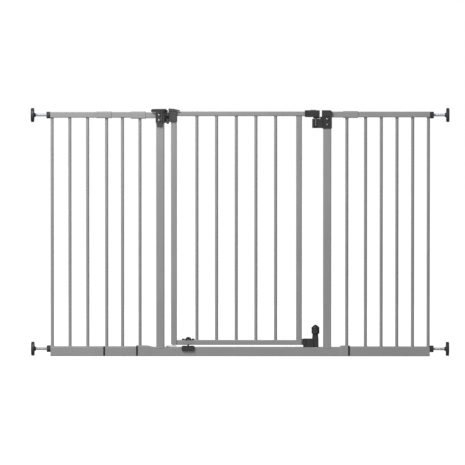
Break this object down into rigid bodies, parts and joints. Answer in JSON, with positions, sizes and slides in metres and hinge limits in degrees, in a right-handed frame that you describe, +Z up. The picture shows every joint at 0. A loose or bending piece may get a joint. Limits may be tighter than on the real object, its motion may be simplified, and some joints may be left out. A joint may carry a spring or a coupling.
{
  "type": "safety gate",
  "caption": "Walk-through child safety gate: metal bars in a pressure-fitted frame with extension panels, a lift-and-swing door, a latch handle, and wall cups on threaded spindles.",
  "frame": {"origin": "middle of the gate on the underside of the base rail", "axes": "+X across the opening, to the right seen from the front; +Y through the opening, away from the front; +Z up"},
  "size_m": [1.302, 0.044, 0.773],
  "materials": {
    "frame_paint": "satin grey powder coat on steel tube",
    "charcoal_plastic": "fine-textured moulded plastic, charcoal",
    "zinc_plate": "bright zinc-plated steel",
    "black_steel": "blackened steel"
  },
  "bodies": {
    "main_frame": {"base_rail": "frame_paint", "base_socket_left": "frame_paint", "base_socket_right": "frame_paint", "post_left": "frame_paint", "post_right": "frame_paint", "top_stub_left": "frame_paint", "top_stub_right": "frame_paint", "frame_bar_left": "frame_paint", "frame_bar_right": "frame_paint", "extension_left_outer": "frame_paint", "extension_left_inner": "frame_paint", "extension_right": "frame_paint", "base_joiner_left_outer": "charcoal_plastic", "base_joiner_left_inner": "charcoal_plastic", "base_joiner_right": "charcoal_plastic", "top_sleeve_left_outer": "frame_paint", "top_sleeve_left_inner": "frame_paint", "top_sleeve_right": "frame_paint", "end_plug_left_top": "charcoal_plastic", "end_plug_left_bottom": "charcoal_plastic", "end_plug_right_top": "charcoal_plastic", "end_plug_right_bottom": "charcoal_plastic", "hinge_bracket": "charcoal_plastic", "hinge_screw_upper": "zinc_plate", "hinge_screw_lower": "zinc_plate", "latch_catch": "charcoal_plastic", "catch_screw_upper": "zinc_plate", "catch_screw_lower": "zinc_plate", "lower_lock_housing": "charcoal_plastic", "lower_pivot_bush": "charcoal_plastic"},
    "hinge_pin": {"hinge_pin": "black_steel"},
    "door": {"door_stile_left": "frame_paint", "door_stile_right": "frame_paint", "door_top_rail": "frame_paint", "door_bottom_rail": "frame_paint", "door_bar_1": "frame_paint", "door_bar_2": "frame_paint", "door_bar_3": "frame_paint", "door_bar_4": "frame_paint", "door_bar_5": "frame_paint", "door_hinge_cap": "charcoal_plastic", "lower_pivot_pin": "zinc_plate", "handle_shell": "charcoal_plastic", "latch_tongue": "charcoal_plastic", "lower_latch_block": "charcoal_plastic", "door_stop": "charcoal_plastic"},
    "thumb_slider": {"thumb_slider": "charcoal_plastic"},
    "lower_lock_knob": {"lower_lock_knob": "charcoal_plastic"},
    "spindle_left_top": {"spindle_left_top": "zinc_plate", "wall_cup_left_top": "charcoal_plastic"},
    "tension_nut_left_top": {"tension_nut_left_top": "charcoal_plastic"},
    "spindle_left_bottom": {"spindle_left_bottom": "zinc_plate", "wall_cup_left_bottom": "charcoal_plastic"},
    "tension_nut_left_bottom": {"tension_nut_left_bottom": "charcoal_plastic"},
    "spindle_right_top": {"spindle_right_top": "zinc_plate", "wall_cup_right_top": "charcoal_plastic"},
    "tension_nut_right_top": {"tension_nut_right_top": "charcoal_plastic"},
    "spindle_right_bottom": {"spindle_right_bottom": "zinc_plate", "wall_cup_right_bottom": "charcoal_plastic"},
    "tension_nut_right_bottom": {"tension_nut_right_bottom": "charcoal_plastic"}
  },
  "joints": [
    {"name": "door_swing", "type": "hinge", "parent": "main_frame", "child": "hinge_pin", "pos_m": [-0.225, -0.007, 0.4], "axis": [0, 0, -1], "range_deg": [0, 95]},
    {"name": "door_lift", "type": "slide", "parent": "hinge_pin", "child": "door", "axis": [0, 0, 1], "range_m": [0, 0.01]},
    {"name": "thumb_slide", "type": "slide", "parent": "door", "child": "thumb_slider", "axis": [-1, 0, 0], "range_m": [0, 0.008], "stiffness_N_per_m": 200},
    {"name": "lock_knob_pull", "type": "slide", "parent": "main_frame", "child": "lower_lock_knob", "axis": [0, 0, 1], "range_m": [0, 0.012]},
    {"name": "spindle_travel_left_top", "type": "slide", "parent": "main_frame", "child": "spindle_left_top", "axis": [-1, 0, 0], "range_m": [-0.034, 0.016]},
    {"name": "nut_turn_left_top", "type": "hinge", "parent": "main_frame", "child": "tension_nut_left_top", "pos_m": [-0.597, 0, 0.751], "axis": [1, 0, 0], "range_deg": [-4081, 1921]},
    {"name": "spindle_travel_left_bottom", "type": "slide", "parent": "main_frame", "child": "spindle_left_bottom", "axis": [-1, 0, 0], "range_m": [-0.034, 0.016]},
    {"name": "nut_turn_left_bottom", "type": "hinge", "parent": "main_frame", "child": "tension_nut_left_bottom", "pos_m": [-0.597, 0, 0.0226], "axis": [1, 0, 0], "range_deg": [-4081, 1921]},
    {"name": "spindle_travel_right_top", "type": "slide", "parent": "main_frame", "child": "spindle_right_top", "axis": [1, 0, 0], "range_m": [-0.034, 0.016]},
    {"name": "nut_turn_right_top", "type": "hinge", "parent": "main_frame", "child": "tension_nut_right_top", "pos_m": [0.597, 0, 0.751], "axis": [-1, 0, 0], "range_deg": [-4081, 1921]},
    {"name": "spindle_travel_right_bottom", "type": "slide", "parent": "main_frame", "child": "spindle_right_bottom", "axis": [1, 0, 0], "range_m": [-0.034, 0.016]},
    {"name": "nut_turn_right_bottom", "type": "hinge", "parent": "main_frame", "child": "tension_nut_right_bottom", "pos_m": [0.597, 0, 0.0226], "axis": [-1, 0, 0], "range_deg": [-4081, 1921]}
  ],
  "couplings": [
    {"joint": "nut_turn_left_top", "follows": "spindle_travel_left_top", "rad_per_m": 2094.4},
    {"joint": "nut_turn_left_bottom", "follows": "spindle_travel_left_bottom", "rad_per_m": 2094.4},
    {"joint": "nut_turn_right_top", "follows": "spindle_travel_right_top", "rad_per_m": 2094.4},
    {"joint": "nut_turn_right_bottom", "follows": "spindle_travel_right_bottom", "rad_per_m": 2094.4}
  ]
}
